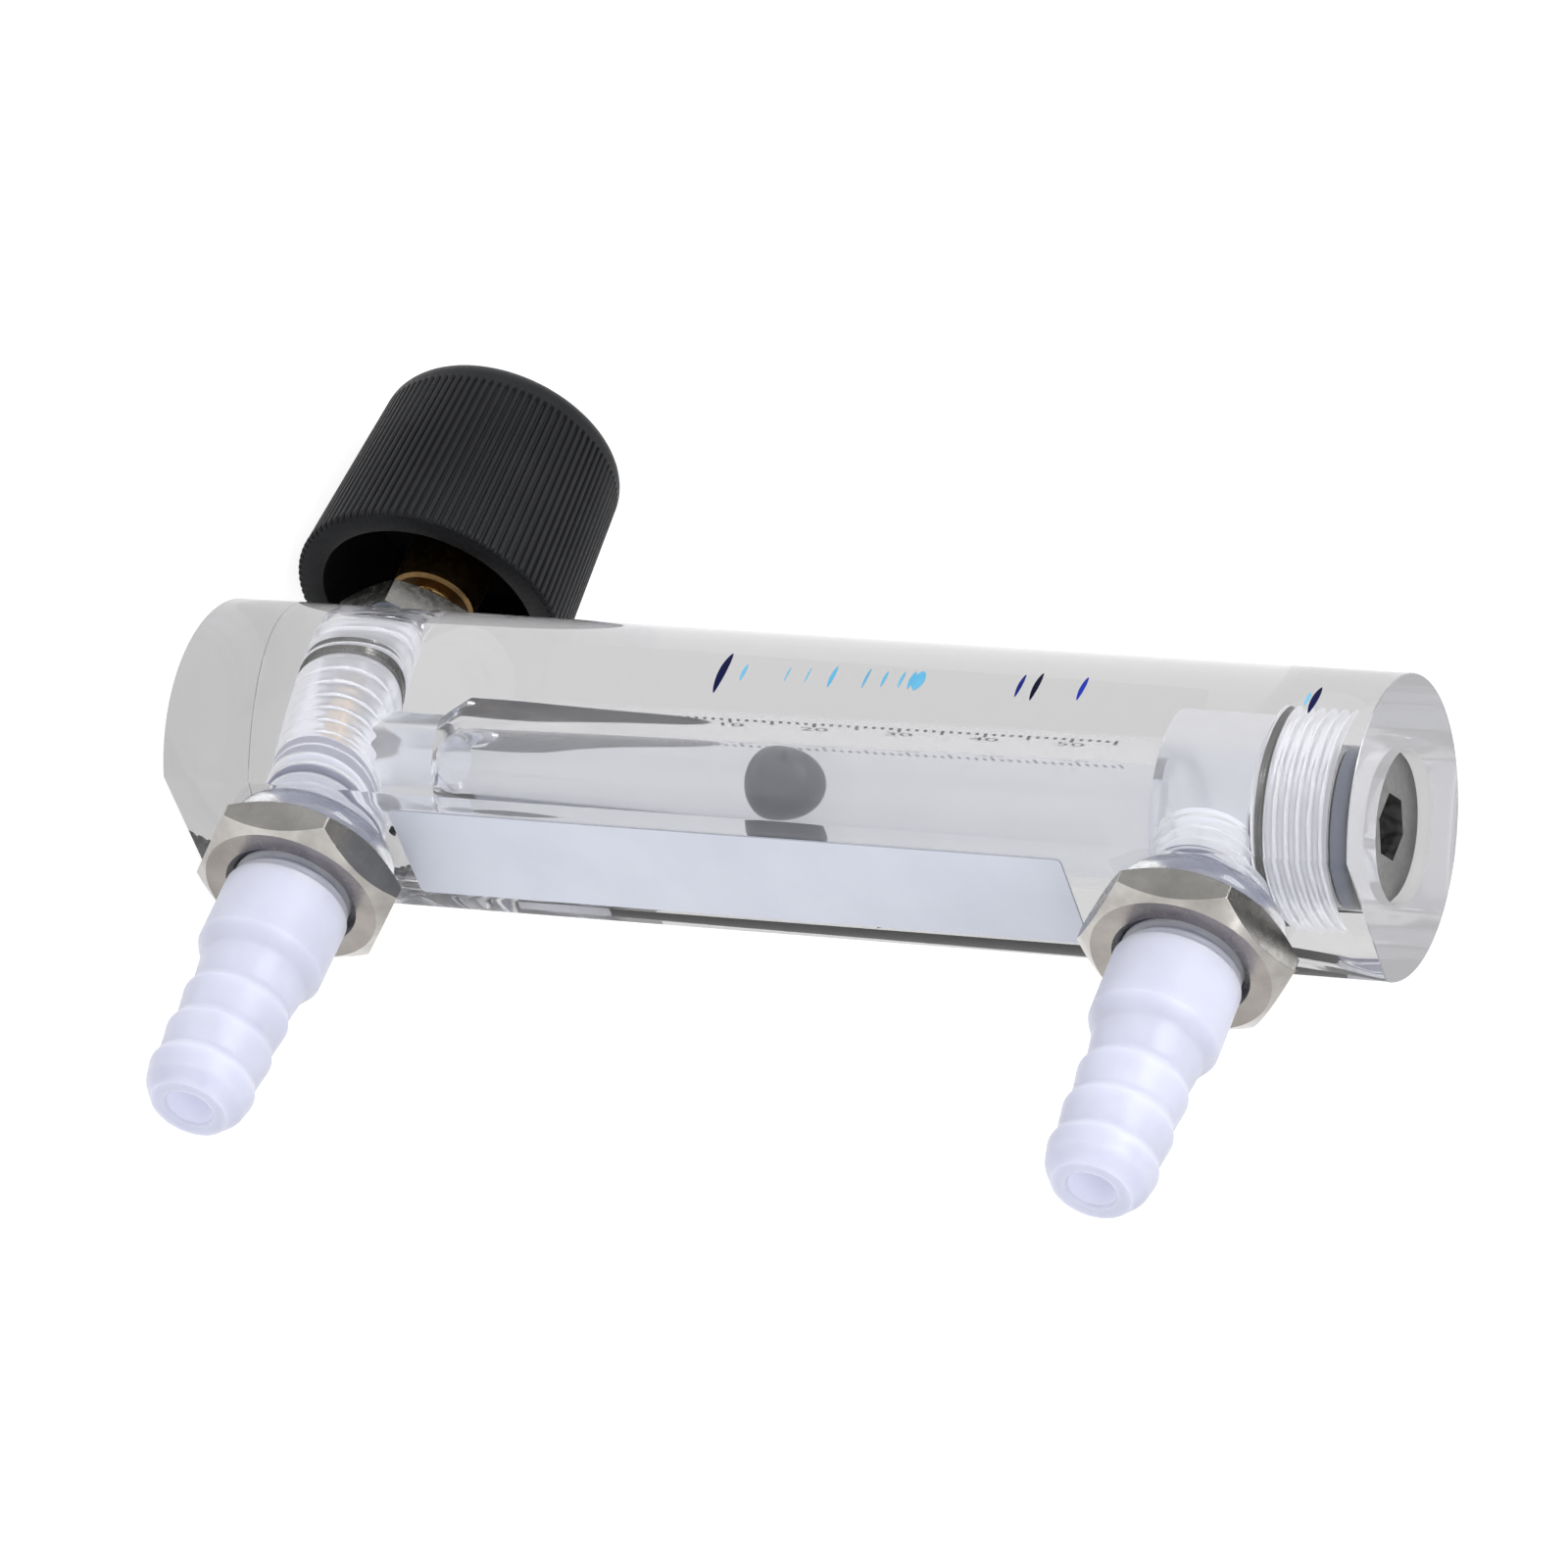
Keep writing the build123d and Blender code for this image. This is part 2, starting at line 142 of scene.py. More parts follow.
SCREW_THREAD_DEPTH = 0.42
THREAD_LEAD = 0.6
THREAD_START = 0.7
STEM_PITCH = 0.5
STEM_THREAD_DEPTH = 0.22
SOCKET_AF = 5.0
SOCKET_DEPTH = 3.6
INK_T = 0.03
DRY_THREAD_Y = -6.5
RIBS = 96


# Materials

def shader(name, colour, roughness, metallic=0.0, **sockets):
    """A material with its shader's own values set, and its node tree."""
    mat = bpy.data.materials.new(name)
    mat.use_nodes = True
    tree = mat.node_tree
    bsdf = tree.nodes["Principled BSDF"]
    bsdf.inputs["Base Color"].default_value = (*colour, 1.0)
    bsdf.inputs["Roughness"].default_value = roughness
    bsdf.inputs["Metallic"].default_value = metallic
    for key, value in sockets.items():
        bsdf.inputs[key.replace("_", " ")].default_value = value
    return mat, tree, bsdf


def node(tree, kind, **values):
    made = tree.nodes.new(kind)
    for key, value in values.items():
        if key in made.inputs:
            made.inputs[key].default_value = value
        else:
            setattr(made, key, value)
    return made


def object_coords(tree, stretch=(1, 1, 1)):
    """Object coordinates in metres, stretched along an axis for drawn or turned marks."""
    coords = node(tree, "ShaderNodeTexCoord")
    mapping = node(tree, "ShaderNodeMapping")
    mapping.inputs["Scale"].default_value = stretch
    tree.links.new(coords.outputs["Object"], mapping.inputs["Vector"])
    return mapping.outputs["Vector"]


def noise(tree, vector, scale, detail=4.0, rough=0.55):
    made = node(tree, "ShaderNodeTexNoise", Scale=scale, Detail=detail, Roughness=rough)
    tree.links.new(vector, made.inputs["Vector"])
    return made.outputs["Fac"]


def to_range(tree, value, low, high):
    made = node(tree, "ShaderNodeMapRange")
    made.inputs["From Min"].default_value = 0.3
    made.inputs["From Max"].default_value = 0.7
    made.inputs["To Min"].default_value = low
    made.inputs["To Max"].default_value = high
    tree.links.new(value, made.inputs["Value"])
    return made.outputs["Result"]


def bump(tree, bsdf, height, strength, distance):
    made = node(tree, "ShaderNodeBump", Strength=strength, Distance=distance)
    tree.links.new(height, made.inputs["Height"])
    tree.links.new(made.outputs["Normal"], bsdf.inputs["Normal"])


def vary_colour(tree, bsdf, value, dark, light):
    ramp = node(tree, "ShaderNodeValToRGB")
    ramp.color_ramp.elements[0].position = 0.35
    ramp.color_ramp.elements[0].color = (*dark, 1)
    ramp.color_ramp.elements[1].position = 0.65
    ramp.color_ramp.elements[1].color = (*light, 1)
    tree.links.new(value, ramp.inputs["Fac"])
    tree.links.new(ramp.outputs["Color"], bsdf.inputs["Base Color"])


def clear_plastic(name, colour, roughness, through=1.0, painted_glow=0.0):
    """Clear plastic. through is the share of light that isn't scattered at the surface.

    The last argument sets emission: a painted glow that lightens cut or milky faces, though the rod is no
    lamp.
    """
    mat, tree, bsdf = shader(
        name, colour, roughness, IOR=1.49, Transmission_Weight=through,
        Emission_Color=(0.90, 0.92, 1.0, 1.0), Emission_Strength=painted_glow,
    )
    vector = object_coords(tree)
    cloud = noise(tree, vector, 60.0)
    tree.links.new(to_range(tree, cloud, roughness * 0.6, roughness * 1.6), bsdf.inputs["Roughness"])
    bump(tree, bsdf, noise(tree, vector, 220.0, 2.0), 0.02, 0.00002)
    return mat


def plated(name, dark, light, roughness, grain=(1, 1, 1), scratch=0.12):
    mat, tree, bsdf = shader(name, light, roughness, metallic=1.0)
    cloud = noise(tree, object_coords(tree), 180.0)
    vary_colour(tree, bsdf, cloud, dark, light)
    fine = noise(tree, object_coords(tree, grain), 1500.0, 6.0)
    tree.links.new(to_range(tree, fine, roughness * 0.75, roughness * 1.4), bsdf.inputs["Roughness"])
    bump(tree, bsdf, fine, scratch, 0.00003)
    return mat


def moulded(name, dark, light, roughness, grain, strength, **sockets):
    mat, tree, bsdf = shader(name, light, roughness, **sockets)
    vector = object_coords(tree)
    vary_colour(tree, bsdf, noise(tree, vector, 120.0), dark, light)
    fine = noise(tree, vector, grain, 5.0)
    tree.links.new(to_range(tree, fine, roughness * 0.85, roughness * 1.15), bsdf.inputs["Roughness"])
    bump(tree, bsdf, fine, strength, 0.00004)
    return mat


# The clear body and its end faces are tinted grey: painted shade standing in for the dark room seen through
# the rod.
acrylic = clear_plastic("acrylic", (0.505, 0.50, 0.505), 0.012)
acrylic_end = clear_plastic("acrylic_end", (0.43, 0.43, 0.445), 0.10, 0.50)
# The bored, milled and tapped copies carry emission: painted glow that lightens the cut faces inside the
# rod.
acrylic_bored_painted_glow = clear_plastic("acrylic_bored_painted_glow", (0.94, 0.96, 1.0), 0.05, 0.86, 0.06)
acrylic_milled_painted_glow = clear_plastic("acrylic_milled_painted_glow", (0.90, 0.92, 0.98), 0.22, 0.60, 0.17)
acrylic_tapped_painted_glow = clear_plastic("acrylic_tapped_painted_glow", (0.93, 0.94, 0.98), 0.20, 0.55, 0.34)
stop_plastic = clear_plastic("stop_plastic", (0.97, 0.98, 1.0), 0.05)
# Three copies of the plating in different brightness: the flats' colour is darkened to paint in the
# reflection of a dark room, the end faces get a lighter copy as painted light, and the chamfers a lighter
# one still as painted highlight.
nickel = plated("nickel", (0.17, 0.166, 0.158), (0.25, 0.244, 0.234), 0.22)
nickel_ends_painted_light = plated("nickel_ends_painted_light", (0.27, 0.25, 0.232), (0.36, 0.335, 0.312), 0.22)
nickel_painted_highlight = plated("nickel_painted_highlight", (0.36, 0.342, 0.325), (0.56, 0.54, 0.515), 0.16)
plug_metal = plated("plug_metal", (0.19, 0.19, 0.188), (0.25, 0.25, 0.247), 0.38)
brass = plated("brass", (0.50, 0.31, 0.12), (0.66, 0.44, 0.19), 0.28)
# A darkened copy of the brass: painted shade for the bush deep inside the knob.
brass_painted_shade = plated("brass_painted_shade", (0.14, 0.085, 0.035), (0.24, 0.15, 0.065), 0.34)
nylon = moulded(
    "nylon", (0.44, 0.45, 0.535), (0.48, 0.49, 0.58), 0.42, 900.0, 0.10,
    Subsurface_Weight=1.0, Subsurface_Scale=0.003, Subsurface_Radius=(1.0, 1.0, 1.2),
    Specular_IOR_Level=0.3,
)
# An emissive copy of the nylon: painted glow for the fittings' bores and the valve seat.
nylon_painted_glow = moulded(
    "nylon_painted_glow", (0.44, 0.45, 0.535), (0.48, 0.49, 0.58), 0.42, 900.0, 0.10,
    Emission_Color=(0.85, 0.86, 1.0, 1.0), Emission_Strength=0.30,
)
knob_plastic = moulded(
    "knob_plastic", (0.007, 0.0074, 0.0088), (0.0105, 0.011, 0.013), 0.46, 2600.0, 0.25,
    Specular_IOR_Level=0.14,
)
float_dark = moulded("float_dark", (0.034, 0.037, 0.056), (0.054, 0.058, 0.084), 0.40, 1500.0, 0.08)
seal_dark = moulded("seal_dark", (0.60, 0.68, 0.86), (0.68, 0.76, 0.96), 0.5, 1800.0, 0.1)
seal_pale = moulded(
    "seal_pale", (0.88, 0.89, 0.92), (0.94, 0.95, 0.97), 0.12, 1800.0, 0.1,
    Transmission_Weight=0.95, IOR=1.41,
)
label_white = moulded("label_white", (0.49, 0.515, 0.59), (0.525, 0.55, 0.625), 0.5, 2200.0, 0.06)
ink_black = moulded("ink_black", (0.02, 0.02, 0.022), (0.05, 0.05, 0.055), 0.5, 3000.0, 0.1)
ink_blue = moulded(
    "ink_blue", (0.002, 0.008, 0.12), (0.008, 0.03, 0.36), 0.5, 2400.0, 0.1, Specular_IOR_Level=0.08,
)
ink_cyan = moulded(
    "ink_cyan", (0.06, 0.28, 0.46), (0.13, 0.38, 0.54), 0.5, 2400.0, 0.1, Specular_IOR_Level=0.15,
)
ink_navy = moulded(
    "ink_navy", (0.001, 0.0015, 0.014), (0.003, 0.005, 0.045), 0.5, 2400.0, 0.1, Specular_IOR_Level=0.05,
)


# Mesh building

def make_object(name, points, faces, material, sharp=35.0):
    """A mesh object from points in millimetres, shaded smooth with edges sharper than an angle kept."""
    mesh = bpy.data.meshes.new(name)
    mesh.from_pydata((np.asarray(points, float) * MM).tolist(), [], faces)
    obj = bpy.data.objects.new(name, mesh)
    bpy.context.scene.collection.objects.link(obj)
    finish_mesh(obj, material, sharp)
    return obj


def finish_mesh(obj, material=None, sharp=35.0):
    work = bmesh.new()
    work.from_mesh(obj.data)
    bmesh.ops.remove_doubles(work, verts=work.verts, dist=1e-7)
    bmesh.ops.recalc_face_normals(work, faces=work.faces)
    work.to_mesh(obj.data)
    work.free()
    obj.data.shade_smooth()
    obj.data.set_sharp_from_angle(angle=math.radians(sharp))
    if material:
        obj.data.materials.clear()
        obj.data.materials.append(material)


def axes(along):
    """The along, first and second directions of a turned piece."""
    if along == "Z":
        return Vector((0, 0, 1)), Vector((1, 0, 0)), Vector((0, 1, 0))
    return Vector((0, 1, 0)), Vector((0, 0, 1)), Vector((1, 0, 0))


def lathe(name, profile, along, centre, material, segs=128, radial=None, closed=True, sharp=35.0):
    """A turned solid. profile is a loop of (radius, height); radial(theta, r, h) may reshape a ring."""
    up, first, second = (np.array(v) for v in axes(along))
    theta = np.arange(segs) * TAU / segs
    points, rings = [], []
    for r, h in profile:
        if r <= 1e-9:
            rings.append([len(points)])
            points.append(np.array(centre) + up * h)
            continue
        rr = np.full(segs, float(r)) if radial is None else radial(theta, r, h)
        rings.append(list(range(len(points), len(points) + segs)))
        ring = np.outer(rr * np.cos(theta), first) + np.outer(rr * np.sin(theta), second)
        points.extend(np.array(centre) + up * h + ring)
    faces = []
    pairs = list(zip(rings, rings[1:]))
    if closed:
        pairs.append((rings[-1], rings[0]))
    for a, b in pairs:
        if len(a) == 1 and len(b) == 1:
            continue
        for j in range(segs):
            k = (j + 1) % segs
            if len(a) == 1:
                faces.append((a[0], b[k], b[j]))
            elif len(b) == 1:
                faces.append((a[j], a[k], b[0]))
            else:
                faces.append((a[j], a[k], b[k], b[j]))
    return make_object(name, points, faces, material, sharp)


def prism(name, corners, along, centre, start, end, material):
    """A straight prism with the given corner points around its axis."""
    up, first, second = (np.array(v) for v in axes(along))
    points = []
    for h in (start, end):
        for a, b in corners:
            points.append(np.array(centre) + up * h + first * a + second * b)
    count = len(corners)
    faces = [tuple(range(count))[::-1], tuple(range(count, 2 * count))]
    for j in range(count):
        k = (j + 1) % count
        faces.append((j, k, count + k, count + j))
    return make_object(name, points, faces, material)


def hexagon(across_flats, first_corner_deg):
    reach = across_flats / math.sqrt(3)
    turns = [math.radians(first_corner_deg + 60 * k) for k in range(6)]
    return [(reach * math.cos(t), reach * math.sin(t)) for t in turns]


def boolean(obj, tool, operation="DIFFERENCE"):
    """obj with the tool cut away or kept in common; the tool goes."""
    mod = obj.modifiers.new("cut", "BOOLEAN")
    mod.operation = operation
    mod.solver = "EXACT"
    mod.material_mode = "TRANSFER"
    mod.object = tool
    bpy.context.view_layer.objects.active = obj
    bpy.ops.object.modifier_apply(modifier=mod.name)
    bpy.data.objects.remove(tool, do_unlink=True)


def soften(obj, width, segments=2, angle=30.0):
    """Small rounds on the edges of a machined piece."""
    mod = obj.modifiers.new("edges", "BEVEL")
    mod.width = width * MM
    mod.segments = segments
    mod.limit_method = "ANGLE"
    mod.angle_limit = math.radians(angle)
    mod.harden_normals = True


def rows(start, end, step):
    count = max(2, int(abs(end - start) / step) + 1)
    return [start + (end - start) * i / (count - 1) for i in range(count)]


def helix(major_r, start, end, depth=THREAD_DEPTH, pitch=PITCH):
    """Radius of a screw thread between two heights, fading out at both."""
    def radial(theta, r, h):
        if abs(r - major_r) > 1e-6 or h < start or h > end:
            return np.full(theta.shape, float(r))
        phase = (h / pitch - theta / TAU) % 1.0
        crest = 1 - np.abs(2 * phase - 1)
        crest = crest * crest * (3 - 2 * crest)
        fade = min(1.0, (h - start) / pitch, (end - h) / pitch)
        return r - depth * (1 - crest) * max(0.0, fade)
    return radial


def add(piece, body, *nodes, slot=None):
    """The piece rides on a body and stands for the named solids, which it hides."""
    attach(piece, body)
    if nodes:
        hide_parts(*nodes)
    return piece


# Clear body

def d_outline(radius, flat, count=720):
    """Round outline with one flat at +Y, counter-clockwise."""
    reach = math.acos(flat / radius)
    turns = [math.pi / 2 + reach + (TAU - 2 * reach) * i / count for i in range(count + 1)]
    return [(radius * math.cos(t), radius * math.sin(t)) for t in turns]


def drop_cap(obj, low_z, high_z):
    """Take out the fan of faces that a cut leaves across a hole, by its middle point on the Z axis."""
    mesh = bmesh.new()
    mesh.from_mesh(obj.data)
    middle = [
        v for v in mesh.verts
        if low_z < v.co.z / MM < high_z and math.hypot(v.co.x, v.co.y) / MM < CLEAR
    ]
    bmesh.ops.delete(mesh, geom=middle, context="VERTS")
    mesh.to_mesh(obj.data)
    mesh.free()


def build_body():
    levels = [(0.0, EDGE), (EDGE, 0.0), (BODY_LEN - EDGE, 0.0), (BODY_LEN, EDGE)]
    points, faces = [], []
    for z, inset in levels:
        outline = d_outline(BODY_R - INK_T - inset, FLAT_Y - inset)
        count = len(outline)
        points.extend((x, y, z) for x, y in outline)
    for level in range(len(levels) - 1):
        for j in range(count):
            k = (j + 1) % count
            a = level * count
            faces.append((a + j, a + k, a + count + k, a + count + j))
    faces.append(tuple(range(count))[::-1])
    faces.append(tuple(range(3 * count, 4 * count)))
    body = make_object("clear_body", points, faces, acrylic)
    body.data.materials.append(acrylic_end)
    for face in body.data.polygons:
        if face.normal.z > 0.3:
            face.material_index = 1
    # Valve hole with spot face and seal groove, then the two ports
    thread_start = SPOT_Y + SEAL_GROOVE_LEN
    screw = helix(VALVE_HOLE_R, thread_start, VALVE_HOLE_END_Y, HOLE_THREAD_DEPTH)
    wet_rows = [(VALVE_HOLE_R, y) for y in rows(thread_start, DRY_THREAD_Y, PITCH / 10)]
    dry_rows = [(VALVE_HOLE_R, y) for y in rows(DRY_THREAD_Y, VALVE_HOLE_END_Y, PITCH / 10)]
    wet = [(0, FRONT_CLEAR_Y), (SPOT_R, FRONT_CLEAR_Y), (SPOT_R, SPOT_Y)]
    wet += [(SEAL_GROOVE_R, SPOT_Y), (SEAL_GROOVE_R, thread_start)] + wet_rows + [(0, DRY_THREAD_Y)]
    dry = [(0, DRY_THREAD_Y - TOOL_RUN_OUT)] + dry_rows + [(0, VALVE_HOLE_END_Y)]
    for loop, finish in ((wet, acrylic_bored_painted_glow), (dry, acrylic_tapped_painted_glow)):
        boolean(body, lathe("tool", loop, "Y", (0, 0, PORT_LOW_Z), finish, segs=160, radial=screw))
    hole_r = THREAD_R + CLEAR
    edge_y = FLAT_Y - HOLE_EDGE
    for side, end_y in (("inlet", VALVE_HOLE_END_Y - PORT_OVERLAP), ("outlet", OUTLET_PORT_Y)):
        loop = [(0, end_y)] + [(hole_r, y) for y in rows(end_y, edge_y, PITCH / 10)]
        loop += [(hole_r + HOLE_EDGE + RUN_PAST, FLAT_Y + RUN_PAST), (0, FLAT_Y + RUN_PAST)]
        tool = lathe(
            "tool", loop, "Y", (0, 0, PORT_Z[side]), acrylic_tapped_painted_glow, segs=160,
            radial=helix(hole_r, end_y, edge_y, HOLE_THREAD_DEPTH),
        )
        boolean(body, tool)
    # Passage, float seat, tapered bore and chamber, then the threaded plug hole
    bore = [(0, PASSAGE_TOP_Z), (PASSAGE_R, PASSAGE_TOP_Z), (BORE_LOW_R, FLOAT_SEAT_Z)]
    bore += [(BORE_HIGH_R, STOP_LOW[2] + RUN_PAST), (0, STOP_LOW[2] + RUN_PAST)]
    boolean(body, lathe("tool", bore, "Z", (0, 0, 0), acrylic_bored_painted_glow, segs=192))
    passage_low, passage_high = PORT_LOW_Z + 1, PASSAGE_TOP_Z + TOOL_RUN_OUT
    passage = [(0, passage_low), (PASSAGE_R, passage_low), (PASSAGE_R, PASSAGE_TOP_Z - TOOL_RUN_OUT)]
    passage += [(PASSAGE_R - 2 * PASSAGE_LIP, passage_high), (0, passage_high)]
    boolean(body, lathe("tool", passage, "Z", (0, 0, 0), acrylic_milled_painted_glow))
    chamber_high = PLUG_LOW[2] + 0.5
    chamber = [(0, STOP_LOW[2]), (CHAMBER_R, STOP_LOW[2]), (CHAMBER_R, chamber_high), (0, chamber_high)]
    boolean(body, lathe("tool", chamber, "Z", (0, 0, 0), acrylic_milled_painted_glow, segs=192))
    plug_hole_r = PLUG_R + CLEAR
    seat_r = PLUG_HEAD_R + CLEAR
    hole_high, above = PLUG_SEAL_LOW_Z + TOOL_RUN_OUT, BODY_LEN + 2
    hole = [(0, PLUG_LOW[2])] + [(plug_hole_r, z) for z in rows(PLUG_LOW[2], PLUG_SEAL_LOW_Z, PITCH / 12)]
    hole += [(plug_hole_r - 2 * TOOL_RUN_OUT, hole_high), (0, hole_high)]
    head = [(0, PLUG_SEAL_LOW_Z - RUN_PAST), (seat_r, PLUG_SEAL_LOW_Z), (seat_r, above), (0, above)]
    boolean(body, lathe("tool", head, "Z", (0, 0, 0), acrylic, segs=192))
    tool = lathe(
        "tool", hole, "Z", (0, 0, 0), acrylic_tapped_painted_glow, segs=192,
        radial=helix(plug_hole_r, PLUG_LOW[2] - PITCH, PLUG_SEAL_LOW_Z),
    )
    boolean(body, tool)
    drop_cap(body, PLUG_LOW[2], BODY_LEN)
    finish_mesh(body, None, 40.0)
    return add(body, "meter", "acrylic_body", slot="acrylic")


build_body()


# Hose fittings, lock nuts and their seals

def fitting_profile(inner_y):
    """Loop of (radius, y) for a hose fitting: bore, thread, shank, soft barbs and rounded tip."""
    loop = [(FITTING_BORE_R, inner_y), (THREAD_R - THREAD_LEAD, inner_y), (THREAD_R, inner_y + THREAD_LEAD)]
    loop += [(THREAD_R, y) for y in rows(inner_y + THREAD_START, THREAD_END_Y - RUN_PAST, PITCH / 10)]
    loop += [(THREAD_R, THREAD_END_Y), (SHANK_R, THREAD_END_Y + 0.08), (SHANK_R, SHANK_END_Y - 0.25)]
    marks = [(SHANK_END_Y, SHANK_R), (BARB_START_Y, BARB_CREST_R)]
    for barb in range(3):
        root_y = BARB_START_Y + (barb + 1) * BARB_PITCH - BARB_RISE
        marks += [(root_y, BARB_ROOT_R), (root_y + BARB_RISE, BARB_CREST_R)]
    marks += [(TIP_Y - 1.4, BARB_CREST_R - 0.35), (TIP_Y, TIP_FACE_R)]
    loop += soft_line(marks, 0.32)
    loop += [(FITTING_BORE_R + 0.25, TIP_Y), (FITTING_BORE_R, TIP_Y - 0.25)]
    return loop


def soft_line(marks, round_len, steps=6):
    """(radius, y) points along straight runs between marks, each inner corner rounded by a curve."""
    line = []
    for i, (y, r) in enumerate(marks):
        here = Vector((y, r))
        if i == 0 or i == len(marks) - 1:
            line.append((r, y))
            continue
        before = (Vector(marks[i - 1]) - here)
        after = (Vector(marks[i + 1]) - here)
        a = here + before.normalized() * min(round_len, before.length * 0.45)
        b = here + after.normalized() * min(round_len, after.length * 0.45)
        for s in range(steps + 1):
            t = s / steps
            p = a * (1 - t) ** 2 + here * 2 * t * (1 - t) + b * t * t
            line.append((p.y, p.x))
    return line


def build_fitting(side):
    inner = INNER_Y[side]
    fitting = lathe(
        side + "_hose_fitting", fitting_profile(inner), "Y", (0, 0, PORT_Z[side]), nylon, segs=144,
        radial=helix(THREAD_R, inner + THREAD_START, THREAD_END_Y - RUN_PAST, SCREW_THREAD_DEPTH),
    )
    # Painted glow: the bore faces take an emissive copy of the nylon, standing in for light coming through
    # the thin wall
    fitting.data.materials.append(nylon_painted_glow)
    centre = Vector((0, 0, PORT_Z[side])) * MM
    for face in fitting.data.polygons:
        off = face.center - centre
        if math.hypot(off.x, off.z) < (FITTING_BORE_R + RUN_PAST) * MM:
            face.material_index = 1
    return add(fitting, "meter", side + "_fitting", slot="nylon")


def build_nut(side):
    centre = (0, 0, PORT_Z[side])
    # The hexagon's first corner counts from +Z towards +X
    corners = hexagon(NUT_AF, -NUT_TURN[side])
    low, high = NUT_LOW[1] + SEAM, NUT_HIGH[1]
    nut = prism(side + "_lock_nut", corners, "Y", centre, low, high, nickel)
    face_r = NUT_AF / 2 - NUT_CHAMFER_INSET
    wide = NUT_AF * 0.6 - NUT_CHAMFER_INSET
    cone = NUT_AF * 0.1 * math.tan(math.radians(NUT_CHAMFER_DEG))
    loop = [(0, low - OVER_CUT), (face_r, low - OVER_CUT), (wide, low + cone), (wide, high - cone)]
    loop += [(face_r, high + OVER_CUT), (0, high + OVER_CUT)]
    # The chamfer faces take the lightest copy of the plating: painted highlight.
    boolean(nut, lathe("tool", loop, "Y", centre, nickel_painted_highlight, segs=192), "INTERSECT")
    bore_r, mouth = THREAD_R + CLEAR, 0.6
    loop = [(0, low - 1), (bore_r, low - 1), (bore_r, high - mouth), (bore_r + 1.1, high + 0.5)]
    loop += [(0, high + 0.5)]
    boolean(nut, lathe("tool", loop, "Y", centre, nickel))
    finish_mesh(nut, None, 20.0)
    # The end faces take a lighter copy of the plating: painted light.
    nut.data.materials.append(nickel_ends_painted_light)
    for face in nut.data.polygons:
        if abs(face.normal.y) > 0.9:
            face.material_index = len(nut.data.materials) - 1
    soften(nut, 0.07, 2, 20.0)
    return add(nut, "meter", side + "_nut", slot="nickel")


def build_washer(side):
    """A soft washer squeezed between the flat and the nut, bulging a little at its rim."""
    low, high = FLAT_Y + SEAM, NUT_LOW[1]
    inner, bulge = THREAD_R + CLEAR, 0.6
    mid, half = (low + high) / 2, (high - low) / 2
    loop = [(inner, high), (inner, low), (WASHER_R - bulge, low)]
    for s in range(9):
        t = math.pi * (s / 8 - 0.5)
        loop.append((WASHER_R - bulge + bulge * math.cos(t), mid + half * math.sin(t)))
    washer = lathe(side + "_washer", loop, "Y", (0, 0, PORT_Z[side]), seal_pale)
    return add(washer, "meter", side + "_seal", slot="pale_seal")


def ring(name, centre, along, ring_r, section_r, height, material, body, cad_node, slot):
    """A seal ring of round section."""
    turns = [s * TAU / 24 for s in range(24)]
    loop = [(ring_r + section_r * math.cos(t), height + section_r * math.sin(t)) for t in turns]
    seal = lathe(name, loop, along, centre, material)
    return add(seal, body, cad_node, slot=slot)


for side in ("inlet", "outlet"):
    build_fitting(side)
    build_nut(side)
    build_washer(side)


# Float and its stop

def build_float():
    radius = (BALL_HIGH[2] - BALL_LOW[2]) / 2
    mid = (BALL_HIGH[2] + BALL_LOW[2]) / 2
    turns = [-math.pi / 2 + math.pi * i / 48 for i in range(49)]
    loop = [(radius * math.cos(t) if 0 < i < 48 else 0.0, radius * math.sin(t)) for i, t in enumerate(turns)]
    ball = lathe("float_bead", loop, "Z", (0, 0, mid), float_dark, segs=96, closed=False, sharp=60.0)
    return add(ball, "float", "float_ball", slot="float")


def build_stop():
    low, high = STOP_LOW[2] + SEAM, STOP_HIGH[2]
    outer = STOP_HIGH[0]
    loop = [(BORE_HIGH_R, low), (outer, low), (outer, high), (BORE_HIGH_R, high)]
    disc = lathe("float_stop_disc", loop, "Z", (0, 0, 0), stop_plastic)
    half_w = 0.8
    reach = BORE_HIGH_R + 0.4
    corners = [(reach, half_w), (-reach, half_w), (-reach, -half_w), (reach, -half_w)]
    bar = prism("bar", corners, "Z", (0, 0, 0), low, high, stop_plastic)
    boolean(disc, bar, "UNION")
    finish_mesh(disc, stop_plastic)
    return add(disc, "meter", "float_stop", slot="stop")


build_float()
build_stop()


# Top plug

